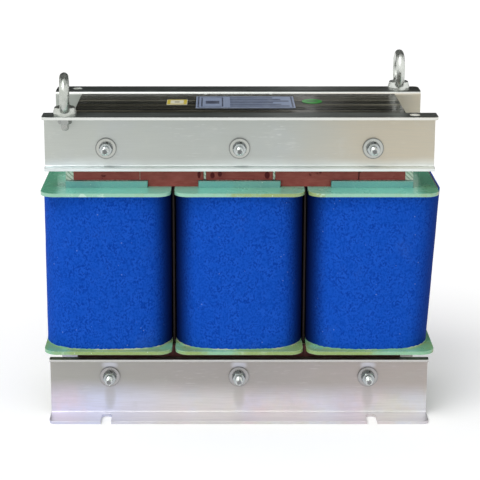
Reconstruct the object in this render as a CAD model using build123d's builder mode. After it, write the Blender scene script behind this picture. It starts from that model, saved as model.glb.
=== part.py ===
from build123d import *
import os

os.makedirs("parts", exist_ok=True)

# Sizes are in millimetres. +X is to the right, +Y to the rear and +Z up.
# The feet stand on Z = 0, and the middle limb stands on the Z axis.

# Iron core
phase_pitch = 114.0
limb_width = 57.0
stack_depth = 94.0
yoke_height = 57.0
window_height = 149.5
gap_board_thickness = 2.5
gaps_per_limb = 2
packet_seams = (34.0, 20.5, 12.0, -3.0, -17.0, -25.5, -37.0)  # between packets of sheets
seam_width = 0.6
seam_depth = 0.5

# Insulating boards between the core and the clamps
board_thickness = 3.0
hairline = 0.4
wide_joint = 2.5
barrier_thickness = 1.5
barrier_setback = 2.0

# Folded steel clamps
clamp_overhang = 24.0  # beyond each end of the core
sheet = 2.5
bend_inside = 1.5
flange_reach = 25.0
lip_reach = 11.0
stud_to_top = 31.0
stud_to_foot = 36.0
stud_to_lip = 18.5
flange_corner = 5.0
lip_corner = 2.0
lifting_hole = 9.0
lifting_end_inset = 19.0  # hole centre from the clamp's end
lifting_setback = 13.4  # hole centre from the clamp's inner face
slot_end_inset = 49.75  # slot centre from the clamp's end
slot_width = 9.0
slot_depth = 18.0

# Former tubes, and the strips that pack the limbs inside them
former_wall = 3.5
former_corner = 1.0
side_packing = 3.25
face_packing = 4.0
packing_share = 0.7  # how much of a limb's face a strip covers
end_strip_height = 20.0  # beside each end of the upper yoke

# Coil flanges
flange_plate = 3.0
flange_gap = 3.0  # between neighbouring flanges
flange_overhang = 4.0  # in front of the wrap and behind it
flange_plate_corner = 12.0
flange_to_yoke = 5.7

# Windings and their wrap
coil_build = 17.9  # former to the wrap's outer face, front and rear
coil_bulge = 9.0
coil_corner = 32.0
wrap_thickness = 1.5
right_lean_top = 4.5
right_lean_bottom = -3.5

# Terminal bars at the rear
bar_width = 20.0
bar_thickness = 4.0
bar_inset = 3.5  # inside the limb's side
bar_bend = 2.0
bar_tail = 41.6  # beyond the rear edge of the coil flange
bar_lift = 2.2  # above the coil flange
bar_leg_margin = 20.0  # leg end above the winding's foot
bar_hole = 9.0
bar_hole_inset = 12.0
bar_cover = 0.5  # finish bar below the winding's rear face

# Studs, nuts and washers
stud_diameter = 6.0
stud_beyond_nut = 8.3
stud_chamfer = 0.8
sleeve_wall = 1.7
nut_across_flats = 10.0
nut_height = 5.0
nut_chamfer = 0.7
flat_washer_outer = 18.0
flat_washer_thickness = 1.6
spring_washer_outer = 12.0
spring_washer_thickness = 1.6
spring_washer_slit = 1.0
spring_washer_slant = 35.0  # degrees

# Lifting eye bolts
collar_diameter = 20.0
collar_top_diameter = 17.2
collar_rim = 2.0
collar_height = 7.2
collar_round = 1.2
eye_outer = 36.0
eye_section = 8.0
eye_neck_round = 2.0
eye_shank = 13.0
front_eye_turn = 4.5  # degrees
rear_eye_turn = 0.0

# Clearances
slip = 0.2
thread_slip = 0.1
hole_slip = 0.4
bolt_slip = 1.0

# Levels, from the floor up
phases = {"left": -phase_pitch, "centre": 0.0, "right": phase_pitch}
lower_stud_level = stud_to_foot
lower_yoke_base = lower_stud_level - yoke_height / 2
lower_yoke_top = lower_yoke_base + yoke_height
upper_yoke_base = lower_yoke_top + window_height
upper_stud_level = upper_yoke_base + yoke_height / 2
clamp_top = upper_stud_level + stud_to_top
coil_base = lower_yoke_top + flange_plate
upper_flange_top = upper_yoke_base - flange_to_yoke
coil_top = upper_flange_top - flange_plate
former_top = upper_yoke_base - slip
bar_leg_base = coil_base + bar_leg_margin
bar_level = upper_flange_top + bar_lift

# Lengths along the core
core_length = 2 * phase_pitch + limb_width
clamp_length = core_length + 2 * clamp_overhang
lifting_spacing = clamp_length - 2 * lifting_end_inset
slot_spacing = clamp_length - 2 * slot_end_inset
former_width = limb_width + 2 * (side_packing + former_wall)
flange_width = phase_pitch - flange_gap
bar_offset = limb_width / 2 - bar_inset - bar_width / 2

# Faces, from the middle of the core to the front or the rear
core_face = stack_depth / 2
clamp_inner = core_face + board_thickness
clamp_face = clamp_inner + sheet
clamp_front = clamp_inner + flange_reach
lifting_line = clamp_inner + lifting_setback
former_face = core_face + face_packing + former_wall
coil_face = former_face + coil_build
flange_face = coil_face + flange_overhang
bar_end = flange_face + bar_tail
spring_washer_face = clamp_face + flat_washer_thickness
nut_face = spring_washer_face + spring_washer_thickness
stud_end = nut_face + nut_height + stud_beyond_nut

# Holes and bores
nut_bore = stud_diameter + 2 * thread_slip
washer_bore = stud_diameter + 2 * slip
sleeve_outer = washer_bore + 2 * sleeve_wall
sleeve_hole = sleeve_outer + hole_slip
clamp_hole = stud_diameter + bolt_slip

# The finish bar lies just below the bulged rear face of the winding
winding_half = flange_width / 2 - wrap_thickness
bulge_radius = (winding_half**2 + coil_bulge**2) / (2 * coil_bulge)
bar_corner_reach = bar_offset + bar_width / 2
bulge_drop = bulge_radius - (bulge_radius**2 - bar_corner_reach**2) ** 0.5
start_bar_face = former_face + slip
finish_bar_face = coil_face - wrap_thickness - bulge_drop - bar_cover - bar_thickness
bar_slots = ((-bar_offset, start_bar_face), (bar_offset, finish_bar_face))

stud_spots = [(x, z) for z in (lower_stud_level, upper_stud_level) for x in phases.values()]
base_aligned = (Align.CENTER, Align.CENTER, Align.MIN)


def keep(builder, name):
    """Label one finished piece and write it to its own file."""
    builder.part.label = name
    export_step(builder.part, f"parts/{name}.step")


def cross_holes(diameter, level):
    """Cut the three stud holes of one yoke from front to rear."""
    with Locations(*[(x, 0, level) for x in phases.values()]):
        Cylinder(diameter / 2, 3 * stack_depth, rotation=(90, 0, 0), mode=Mode.SUBTRACT)


def front_plane(distance):
    """A plane that faces the front, at this distance from the core's middle."""
    return Plane.XZ.offset(distance)


# Core: two yokes with open seams between packets of sheets, and limbs of blocks and gap boards
def build_yoke(name, base, stud_level):
    with BuildPart() as yoke:
        with Locations((0, 0, base)):
            Box(core_length, stack_depth, yoke_height, align=base_aligned)
        for seam in packet_seams:
            with BuildSketch(front_plane(-seam)):
                with Locations((0, stud_level)):
                    Rectangle(core_length, yoke_height)
                    Rectangle(
                        core_length - 2 * seam_depth, yoke_height - 2 * seam_depth, mode=Mode.SUBTRACT
                    )
            extrude(amount=seam_width / 2, both=True, mode=Mode.SUBTRACT)
        cross_holes(sleeve_hole, stud_level)
    keep(yoke, name)


build_yoke("lower_yoke", lower_yoke_base, lower_stud_level)
build_yoke("upper_yoke", upper_yoke_base, upper_stud_level)

block_height = window_height / gaps_per_limb - gap_board_thickness
block_bases = [
    lower_yoke_top + i * (block_height + gap_board_thickness) for i in range(gaps_per_limb)
]

for side, middle in phases.items():
    with BuildPart() as limb:
        with Locations(*[(middle, 0, base) for base in block_bases]):
            Box(limb_width, stack_depth, block_height, align=base_aligned)
    keep(limb, f"{side}_limb")

with BuildPart() as gap_boards:
    with Locations(*[(x, 0, base + block_height) for base in block_bases for x in phases.values()]):
        Box(limb_width, stack_depth, gap_board_thickness, align=base_aligned)
keep(gap_boards, "gap_boards")


# Boards: cut lengths of one sheet, with tongues that reach down to the upper coil flanges
def build_boards(name, base, stud_level, cuts, tongues):
    with BuildPart() as front_boards:
        with BuildSketch(front_plane(core_face)):
            with Locations((0, base + yoke_height / 2)):
                Rectangle(core_length, yoke_height)
            if tongues:
                with Locations(*[(s * phase_pitch / 2, base - flange_to_yoke / 2) for s in (-1, 1)]):
                    Rectangle(phase_pitch - former_width - 2 * slip, flange_to_yoke)
            for place, width in cuts:
                with Locations((place, base + yoke_height / 2)):
                    Rectangle(width, 2 * yoke_height, mode=Mode.SUBTRACT)
            with Locations(*[(x, stud_level) for x in phases.values()]):
                Circle(sleeve_hole / 2, mode=Mode.SUBTRACT)
        extrude(amount=board_thickness)
    keep(front_boards, f"{name}_front_boards")
    with BuildPart() as rear_boards:
        mirror(front_boards.part, about=Plane.XZ)
    keep(rear_boards, f"{name}_rear_boards")


lower_board_cuts = ((-phase_pitch / 2, hairline), (phase_pitch / 2, hairline))
upper_board_cuts = (
    (-phase_pitch + limb_width / 2, hairline),
    (-limb_width / 2 - wide_joint / 2, wide_joint),
    (limb_width / 2 + wide_joint / 2, wide_joint),
    (phase_pitch - limb_width / 5, hairline),
)
build_boards("lower", lower_yoke_base, lower_stud_level, lower_board_cuts, False)
build_boards("upper", upper_yoke_base, upper_stud_level, upper_board_cuts, True)

# Barriers that stand on the lower yoke between the coils
with BuildPart() as phase_barriers:
    with Locations(*[(s * phase_pitch / 2, 0, lower_yoke_top) for s in (-1, 1)]):
        Box(
            barrier_thickness, stack_depth - 2 * barrier_setback, window_height - slip, align=base_aligned
        )
keep(phase_barriers, "phase_barriers")


# Clamps: one folded section, with the wide flange above or below
def channel(flange_level, lip_level):
    """The front channel, with its web flat against the boards and both edges to the front."""
    sheet_side = Side.RIGHT if flange_level > lip_level else Side.LEFT
    with BuildPart() as folded:
        with BuildSketch(Plane.YZ):
            with BuildLine():
                FilletPolyline(
                    (-clamp_front, flange_level),
                    (-clamp_inner, flange_level),
                    (-clamp_inner, lip_level),
                    (-clamp_inner - lip_reach, lip_level),
                    radius=bend_inside + sheet,
                )
                offset(amount=sheet, side=sheet_side)
            make_face()
        extrude(amount=clamp_length / 2, both=True)
        tips = folded.edges().filter_by(Axis.Z).group_by(Axis.Y)
        fillet(tips[0], radius=flange_corner)
        fillet(tips[1], radius=lip_corner)
    return folded.part


def build_clamp_pair(level_name, front_clamp):
    keep(front_clamp, f"{level_name}_front_clamp")
    with BuildPart() as rear_clamp:
        mirror(front_clamp.part, about=Plane.XZ)
    keep(rear_clamp, f"{level_name}_rear_clamp")


with BuildPart() as upper_clamp:
    add(channel(clamp_top, upper_stud_level - stud_to_lip))
    cross_holes(clamp_hole, upper_stud_level)
    with Locations(*[(s * lifting_spacing / 2, -lifting_line, clamp_top) for s in (-1, 1)]):
        Cylinder(lifting_hole / 2, 4 * sheet, mode=Mode.SUBTRACT)
build_clamp_pair("upper", upper_clamp)

with BuildPart() as lower_clamp:
    add(channel(0, lower_stud_level + stud_to_lip))
    cross_holes(clamp_hole, lower_stud_level)
    with BuildSketch():
        with Locations(*[(s * slot_spacing / 2, -clamp_front) for s in (-1, 1)]):
            SlotOverall(2 * slot_depth, slot_width, rotation=90)
    extrude(amount=sheet, mode=Mode.SUBTRACT)
build_clamp_pair("lower", lower_clamp)

# Former tubes, and the packing strips that wedge each limb inside its tube
for side, middle in phases.items():
    with BuildPart() as former:
        with BuildSketch(Plane.XY.offset(lower_yoke_top)):
            with Locations((middle, 0)):
                RectangleRounded(former_width, 2 * former_face, former_corner)
                Rectangle(
                    former_width - 2 * former_wall, 2 * (former_face - former_wall), mode=Mode.SUBTRACT
                )
        extrude(amount=former_top - lower_yoke_top)
    keep(former, f"{side}_former")

with BuildPart() as limb_packing:
    with BuildSketch(Plane.XY.offset(lower_yoke_top)):
        for middle in phases.values():
            for s in (-1, 1):
                with Locations((middle + s * (limb_width + side_packing) / 2, 0)):
                    Rectangle(side_packing, packing_share * stack_depth)
                with Locations((middle, s * (stack_depth + face_packing) / 2)):
                    Rectangle(packing_share * limb_width, face_packing)
    extrude(amount=former_top - lower_yoke_top)
keep(limb_packing, "limb_packing")

with BuildPart() as end_strips:
    strip_width = side_packing + former_wall
    with Locations(*[(s * (core_length + strip_width) / 2, 0, former_top) for s in (-1, 1)]):
        Box(strip_width, 2 * (clamp_inner - slip), end_strip_height, align=base_aligned)
keep(end_strips, "end_strips")


# Coil flanges: plates around the former, with slots for the bars in the upper ones
def build_flange(name, middle, base, slots):
    with BuildPart() as plate:
        with BuildSketch(Plane.XY.offset(base)):
            with Locations((middle, 0)):
                RectangleRounded(flange_width, 2 * flange_face, flange_plate_corner)
                Rectangle(former_width + 2 * slip, 2 * (former_face + slip), mode=Mode.SUBTRACT)
            for x, face in slots:
                with Locations((middle + x, face + bar_thickness / 2)):
                    Rectangle(bar_width + 2 * slip, bar_thickness + 2 * slip, mode=Mode.SUBTRACT)
        extrude(amount=flange_plate)
    keep(plate, name)


for side, middle in phases.items():
    build_flange(f"{side}_lower_flange", middle, lower_yoke_top, ())
    build_flange(f"{side}_upper_flange", middle, coil_top, bar_slots)


# Windings: bulged front and rear, round corners, and a right coil that leans outwards
def coil_section(level, middle, inset, lean):
    """One horizontal section of a coil, inset from the wrap's outer face."""
    half = flange_width / 2 - inset
    depth = coil_face - inset
    corner = depth - coil_bulge
    with BuildSketch(Plane.XY.offset(level)) as section:
        with BuildLine():
            rear = ThreePointArc((middle - half, corner), (middle, depth), (middle + half + lean, corner))
            front = ThreePointArc(
                (middle - half, -corner), (middle, -depth), (middle + half + lean, -corner)
            )
            Line(rear @ 0, front @ 0)
            Line(rear @ 1, front @ 1)
        make_face()
        fillet(section.vertices(), radius=coil_corner - inset)
    return section.sketch


def coil_body(middle, inset, leans):
    """A coil without its window, straight from the lower section to the upper one."""
    with BuildPart(mode=Mode.PRIVATE) as body:
        loft(
            [
                coil_section(coil_base, middle, inset, leans[0]),
                coil_section(coil_top, middle, inset, leans[1]),
            ],
            ruled=True,
        )
    return body.part


def cut_bar_groove(middle, face):
    """Cut the groove that a bar's leg lies in, up to the top of the winding."""
    with Locations((middle, face + bar_thickness / 2, bar_leg_base - slip)):
        Box(
            bar_width + 2 * slip,
            bar_thickness + 2 * slip,
            coil_top - bar_leg_base + 2 * slip,
            align=base_aligned,
            mode=Mode.SUBTRACT,
        )


coil_leans = {"left": (0, 0), "centre": (0, 0), "right": (right_lean_bottom, right_lean_top)}
for side, middle in phases.items():
    with BuildPart() as winding:
        add(coil_body(middle, wrap_thickness, coil_leans[side]))
        with BuildSketch(Plane.XY.offset(coil_base)):
            with Locations((middle, 0)):
                RectangleRounded(former_width + 2 * slip, 2 * (former_face + slip), former_corner)
        extrude(amount=coil_top - coil_base, mode=Mode.SUBTRACT)
        for x, face in bar_slots:
            cut_bar_groove(middle + x, face)
    keep(winding, f"{side}_winding")

    with BuildPart() as wrap:
        add(coil_body(middle, 0, coil_leans[side]))
        add(coil_body(middle, wrap_thickness - slip / 2, coil_leans[side]), mode=Mode.SUBTRACT)
    keep(wrap, f"{side}_wrap")


# Terminal bars: a leg along the winding, and a tail that passes over the flange to the rear
def build_bar(name, middle, face):
    with BuildPart() as bar:
        with BuildSketch(Plane.YZ.offset(middle)):
            with BuildLine():
                FilletPolyline(
                    (face, bar_leg_base),
                    (face, bar_level + bar_thickness),
                    (bar_end, bar_level + bar_thickness),
                    radius=bar_bend + bar_thickness,
                )
                offset(amount=bar_thickness, side=Side.RIGHT)
            make_face()
        extrude(amount=bar_width / 2, both=True)
        with Locations((middle, bar_end - bar_hole_inset, bar_level)):
            Cylinder(bar_hole / 2, 4 * bar_thickness, mode=Mode.SUBTRACT)
        fillet(bar.edges().filter_by(Axis.Z).group_by(Axis.Y)[-1], radius=bar_bend)
    keep(bar, name)


for side, middle in phases.items():
    build_bar(f"{side}_start_bar", middle - bar_offset, start_bar_face)
    build_bar(f"{side}_finish_bar", middle + bar_offset, finish_bar_face)

# Studs through both clamps, each in an insulating sleeve
with BuildPart() as clamp_studs:
    with Locations(*[(x, 0, z) for x, z in stud_spots]):
        Cylinder(stud_diameter / 2, 2 * stud_end, rotation=(90, 0, 0))
    chamfer(clamp_studs.edges().filter_by(GeomType.CIRCLE), length=stud_chamfer)
keep(clamp_studs, "clamp_studs")

with BuildPart() as stud_sleeves:
    with BuildSketch(front_plane(0)):
        with Locations(*stud_spots):
            Circle(sleeve_outer / 2)
            Circle(washer_bore / 2, mode=Mode.SUBTRACT)
    extrude(amount=clamp_inner - slip, both=True)
keep(stud_sleeves, "stud_sleeves")

with BuildPart() as flat_washers:
    with BuildSketch(front_plane(clamp_face)):
        with Locations(*stud_spots):
            Circle(flat_washer_outer / 2)
            Circle(washer_bore / 2, mode=Mode.SUBTRACT)
    extrude(amount=flat_washer_thickness)
    mirror(about=Plane.XZ)
keep(flat_washers, "flat_washers")

with BuildPart() as spring_washers:
    with BuildSketch(front_plane(spring_washer_face)):
        with Locations(*stud_spots):
            Circle(spring_washer_outer / 2)
            Circle(washer_bore / 2, mode=Mode.SUBTRACT)
    extrude(amount=spring_washer_thickness)
    with Locations(*[(x, -spring_washer_face, z + spring_washer_outer / 2) for x, z in stud_spots]):
        Box(spring_washer_slit, 3 * spring_washer_thickness, spring_washer_outer / 2,
            rotation=(0, 0, spring_washer_slant), mode=Mode.SUBTRACT)
    mirror(about=Plane.XZ)
keep(spring_washers, "spring_washers")

# One hexagon nut, standing on its face, with its corners turned down at both ends
nut_corner = nut_across_flats / 3**0.5
with BuildPart() as nut:
    with BuildSketch():
        RegularPolygon(nut_across_flats / 2, 6, major_radius=False)
    extrude(amount=nut_height)
    with BuildSketch(Plane.XZ):
        with BuildLine():
            Polyline(
                (0, 0),
                (nut_across_flats / 2, 0),
                (nut_corner, nut_chamfer),
                (nut_corner, nut_height - nut_chamfer),
                (nut_across_flats / 2, nut_height),
                (0, nut_height),
                close=True,
            )
        make_face()
    revolve(axis=Axis.Z, mode=Mode.INTERSECT)
    Hole(nut_bore / 2)

with BuildPart() as clamp_nuts:
    with Locations(*[Location((x, -nut_face, z), (90, 0, 0)) for x, z in stud_spots]):
        add(nut.part)
    mirror(about=Plane.XZ)
keep(clamp_nuts, "clamp_nuts")

# One lifting eye bolt: a ring that grows out of a tapered collar, with a shank for the nut below
with BuildPart() as eye_bolt:
    with BuildSketch(Plane.XZ):
        with BuildLine():
            Polyline(
                (0, 0),
                (collar_diameter / 2, 0),
                (collar_diameter / 2, collar_rim),
                (collar_top_diameter / 2, collar_height),
                (0, collar_height),
                close=True,
            )
        make_face()
    revolve(axis=Axis.Z)
    fillet(eye_bolt.edges().filter_by(GeomType.CIRCLE).sort_by(Axis.Z)[-1], radius=collar_round)
    with Locations(Location((0, 0, eye_outer / 2), (180, 0, 0))):
        Torus((eye_outer - eye_section) / 2, eye_section / 2, rotation=(0, 90, 0))
    fillet(eye_bolt.edges().filter_by(GeomType.BSPLINE), radius=eye_neck_round)
    Cylinder(stud_diameter / 2, eye_shank, align=(Align.CENTER, Align.CENTER, Align.MAX))
    chamfer(eye_bolt.edges().filter_by(GeomType.CIRCLE).sort_by(Axis.Z)[0], length=stud_chamfer)

eye_places = {
    "front": Location((-lifting_spacing / 2, -lifting_line, clamp_top), (0, 0, front_eye_turn)),
    "rear": Location((lifting_spacing / 2, lifting_line, clamp_top), (0, 0, rear_eye_turn)),
}
for side, place in eye_places.items():
    with BuildPart() as placed_eye:
        with Locations(place):
            add(eye_bolt.part)
    keep(placed_eye, f"{side}_eye_bolt")

with BuildPart() as eye_bolt_nuts:
    with Locations(*[place * Location((0, 0, -sheet - nut_height)) for place in eye_places.values()]):
        add(nut.part)
keep(eye_bolt_nuts, "eye_bolt_nuts")
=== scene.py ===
import math
import random

import bmesh
import bpy
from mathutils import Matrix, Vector


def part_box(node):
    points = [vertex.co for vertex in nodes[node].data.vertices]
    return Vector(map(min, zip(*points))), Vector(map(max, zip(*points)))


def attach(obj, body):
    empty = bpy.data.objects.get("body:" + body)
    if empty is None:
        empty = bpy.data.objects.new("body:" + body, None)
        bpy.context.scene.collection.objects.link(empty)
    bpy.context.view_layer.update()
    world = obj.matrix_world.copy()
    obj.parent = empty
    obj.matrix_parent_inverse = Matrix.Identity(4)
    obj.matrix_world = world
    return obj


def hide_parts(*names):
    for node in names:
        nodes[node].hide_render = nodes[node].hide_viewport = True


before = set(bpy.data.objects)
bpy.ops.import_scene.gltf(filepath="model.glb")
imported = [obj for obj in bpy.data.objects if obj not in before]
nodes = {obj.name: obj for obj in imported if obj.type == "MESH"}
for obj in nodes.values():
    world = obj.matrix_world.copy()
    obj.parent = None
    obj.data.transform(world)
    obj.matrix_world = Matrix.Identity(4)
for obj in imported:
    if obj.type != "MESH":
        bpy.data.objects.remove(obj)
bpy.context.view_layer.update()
print("frame loaded,", len(nodes), "nodes")

# Places that finishes and pieces share, worked out from the frame
phases = {}
for phase in ("left", "centre", "right"):
    limbLow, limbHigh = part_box(phase + "_limb")
    phases[phase] = round((limbLow.x + limbHigh.x) / 2, 6)
studLow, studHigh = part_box("clamp_studs")
studRadius = phases["left"] - studLow.x
studLevels = (studLow.z + studRadius, studHigh.z - studRadius)
middleLevel = sum(studLevels) / 2
lipFoot, clampTop = [corner.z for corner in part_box("upper_front_clamp")]
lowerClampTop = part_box("lower_front_clamp")[1].z

# Places of the bare labels on the core's top, also used by their finishes
labels = {
    "pale_sticker": {"x": (-0.0637, -0.0456), "y": (-0.0040, 0.0190), "corner": 0.0006, "segments": 3},
    "grey_plate": {"x": (-0.0378, 0.0491), "y": (-0.0200, 0.0350), "corner": 0.0012, "segments": 4},
    "green_oval": {"x": (0.0560, 0.0740), "y": (0.0010, 0.0215), "corner": None, "segments": 40},
}


# Helpers for shader trees
def newMaterial(name, color, roughness, metallic=0.0, coat=0.0, coatRoughness=0.1, specular=0.5):
    material = bpy.data.materials.new(name)
    material.use_nodes = True
    tree = material.node_tree
    plain = {"Base Color": (*color, 1), "Roughness": roughness, "Metallic": metallic, "Coat Weight": coat,
             "Coat Roughness": coatRoughness, "Specular IOR Level": specular}
    for socket, value in plain.items():
        tree.nodes["Principled BSDF"].inputs[socket].default_value = value
    return material, tree


def addNode(tree, kind, inputs=None, **settings):
    node = tree.nodes.new("ShaderNode" + kind)
    for name, value in settings.items():
        setattr(node, name, value)
    for name, value in (inputs or {}).items():
        if isinstance(value, bpy.types.NodeSocket):
            tree.links.new(value, node.inputs[name])
        else:
            node.inputs[name].default_value = value
    return node


def wire(tree, fromSocket, toSocket):
    tree.links.new(fromSocket, toSocket)


def finished(material, color, normal, roughness=None, coat=None):
    tree = material.node_tree
    maps = {"Base Color": color, "Normal": normal, "Roughness": roughness, "Coat Weight": coat}
    for socket, value in maps.items():
        if value is not None:
            wire(tree, value, tree.nodes["Principled BSDF"].inputs[socket])
    return material


def math2(tree, operation, a, b=0.0, clamp=False):
    return addNode(tree, "Math", {0: a, 1: b}, operation=operation, use_clamp=clamp).outputs[0]


def within(tree, value, middle, half):
    return addNode(tree, "Math", {0: value, 1: middle, 2: half}, operation="COMPARE").outputs[0]


def scaled(tree, value, factor, offset):
    return math2(tree, "ADD", math2(tree, "MULTIPLY", value, factor), offset)


def rangeMask(tree, value, low, high, smooth=True):
    kind = "SMOOTHSTEP" if smooth else "LINEAR"
    inputs = {"Value": value, "From Min": low, "From Max": high}
    return addNode(tree, "MapRange", inputs, interpolation_type=kind).outputs["Result"]


def mixColor(tree, factor, a, b):
    node = addNode(tree, "Mix", data_type="RGBA", blend_type="MIX")
    for index, value in ((0, factor), (6, a), (7, b)):
        if isinstance(value, bpy.types.NodeSocket):
            wire(tree, value, node.inputs[index])
        else:
            node.inputs[index].default_value = (*value, 1)
    return node.outputs[2]


def tint(tree, color, tone, mask, share):
    return mixColor(tree, math2(tree, "MULTIPLY", mask, share), color, tone)


def objectPlace(tree, scale=(1, 1, 1), turn=(0, 0, 0)):
    place = addNode(tree, "TexCoord").outputs["Object"]
    inputs = {"Vector": place, "Scale": scale, "Rotation": turn}
    return addNode(tree, "Mapping", inputs).outputs["Vector"]


def noise(tree, scale, detail=4.0, roughness=0.55, vector=None):
    place = objectPlace(tree) if vector is None else vector
    inputs = {"Vector": place, "Scale": scale, "Detail": detail, "Roughness": roughness}
    return addNode(tree, "TexNoise", inputs).outputs["Fac"]


def axisValue(tree, axis):
    place = addNode(tree, "TexCoord").outputs["Object"]
    return addNode(tree, "SeparateXYZ", {"Vector": place}).outputs[axis]


def facing(tree, axis):
    normal = addNode(tree, "NewGeometry").outputs["Normal"]
    return addNode(tree, "SeparateXYZ", {"Vector": normal}).outputs[axis]


def roundedNormal(tree, radius):
    return addNode(tree, "Bevel", {"Radius": radius}, samples=4).outputs["Normal"]


def bump(tree, height, strength, distance, normal=None):
    node = addNode(tree, "Bump", {"Height": height, "Strength": strength, "Distance": distance})
    if normal is not None:
        wire(tree, normal, node.inputs["Normal"])
    return node.outputs["Normal"]


# Effects that several finishes use
def groupFrame(name, inputs):
    group = bpy.data.node_groups.new(name, "ShaderNodeTree")
    for socket, value in inputs.items():
        item = group.interface.new_socket(name=socket, in_out="INPUT", socket_type="NodeSocketFloat")
        item.default_value = value
    group.interface.new_socket(name="Mask", in_out="OUTPUT", socket_type="NodeSocketFloat")
    given = group.nodes.new("NodeGroupInput").outputs
    return group, given, group.nodes.new("NodeGroupOutput").inputs["Mask"]


def makeStains():
    group, given, out = groupFrame("stains", {"Scale": 20.0, "Start": 0.5, "End": 0.7})
    patches = noise(group, given["Scale"], detail=6.0, roughness=0.6)
    wire(group, rangeMask(group, patches, given["Start"], given["End"]), out)
    return group


def makeStreaks():
    group, given, out = groupFrame("rolling streaks", {"Fine": 2200.0, "Length": 0.02})
    slow = math2(group, "MULTIPLY", axisValue(group, "X"), given["Length"])
    place = {"X": slow, "Y": axisValue(group, "Y"), "Z": axisValue(group, "Z")}
    vector = addNode(group, "CombineXYZ", place).outputs["Vector"]
    wire(group, noise(group, given["Fine"], detail=3.0, vector=vector), out)
    return group


def makeEdgeWear():
    group, given, out = groupFrame("edge wear", {"Width": 0.0006, "Amount": 1.0})
    plain = addNode(group, "NewGeometry").outputs["Normal"]
    pair = {0: roundedNormal(group, given["Width"]), 1: plain}
    same = addNode(group, "VectorMath", pair, operation="DOT_PRODUCT").outputs["Value"]
    turned = rangeMask(group, same, low=0.985, high=0.86)
    breaks = rangeMask(group, noise(group, scale=400.0, detail=3.0), low=0.30, high=0.55)
    broken = math2(group, "MULTIPLY", turned, breaks)
    wire(group, math2(group, "MULTIPLY", broken, given["Amount"], clamp=True), out)
    return group


def makeSpecks():
    group, given, out = groupFrame("specks", {"Scale": 300.0, "Size": 0.12})
    patchStart = 0.55
    dots = addNode(group, "TexVoronoi", {"Vector": objectPlace(group), "Scale": given["Scale"]})
    near = math2(group, "LESS_THAN", dots.outputs["Distance"], given["Size"])
    few = math2(group, "GREATER_THAN", noise(group, scale=90.0, detail=2.0), patchStart)
    wire(group, math2(group, "MULTIPLY", near, few), out)
    return group


def makeScratches():
    group, given, out = groupFrame("scratches", {"Fine": 900.0, "Start": 0.64})
    turns, length, softness = (0.42, -0.30), 0.08, 0.05
    end = math2(group, "ADD", given["Start"], softness)
    masks = []
    for turn in turns:
        place = objectPlace(group, scale=(length, 1, 1), turn=(0, turn, 0))
        lines = noise(group, given["Fine"], detail=2.0, vector=place)
        masks.append(rangeMask(group, lines, given["Start"], end))
    few = rangeMask(group, noise(group, scale=28.0), low=0.48, high=0.62)
    wire(group, math2(group, "MULTIPLY", math2(group, "MAXIMUM", *masks), few), out)
    return group


def makeSoftSpot():
    inputs = {"Middle X": 0.0, "Middle Z": 0.0, "Half Width": 0.008, "Half Height": 0.006}
    group, given, out = groupFrame("soft spot", inputs)
    away = []
    for axis, size in (("X", "Half Width"), ("Z", "Half Height")):
        offset = math2(group, "SUBTRACT", axisValue(group, axis), given["Middle " + axis])
        share = math2(group, "DIVIDE", math2(group, "ABSOLUTE", offset), given[size])
        away.append(math2(group, "POWER", share, 2.0))
    wire(group, rangeMask(group, math2(group, "ADD", *away), low=1.0, high=0.0), out)
    return group


effects = {
    "scratches": makeScratches(), "softSpot": makeSoftSpot(), "stains": makeStains(),
    "streaks": makeStreaks(), "edgeWear": makeEdgeWear(), "specks": makeSpecks(),
}


# Places an effect in a material, with values in the order of the effect's own sockets
def useEffect(tree, effect, *values):
    node = tree.nodes.new("ShaderNodeGroup")
    node.node_tree = effects[effect]
    for socket, value in zip(node.inputs, values):
        socket.default_value = value
    return node.outputs["Mask"]


def stains(tree, scale, start, end):
    return useEffect(tree, "stains", scale, start, end)


def streaks(tree, fine, length):
    return useEffect(tree, "streaks", fine, length)


def stain(tree, color, tone, share, scale, start, end):
    return tint(tree, color, tone, stains(tree, scale, start, end), share)


def speckle(tree, color, tone, share, scale, size):
    return tint(tree, color, tone, useEffect(tree, "specks", scale, size), share)


def wearEdges(tree, color, tone, width, amount):
    return mixColor(tree, useEffect(tree, "edgeWear", width, amount), color, tone)


print("shared shader effects ready")


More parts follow.
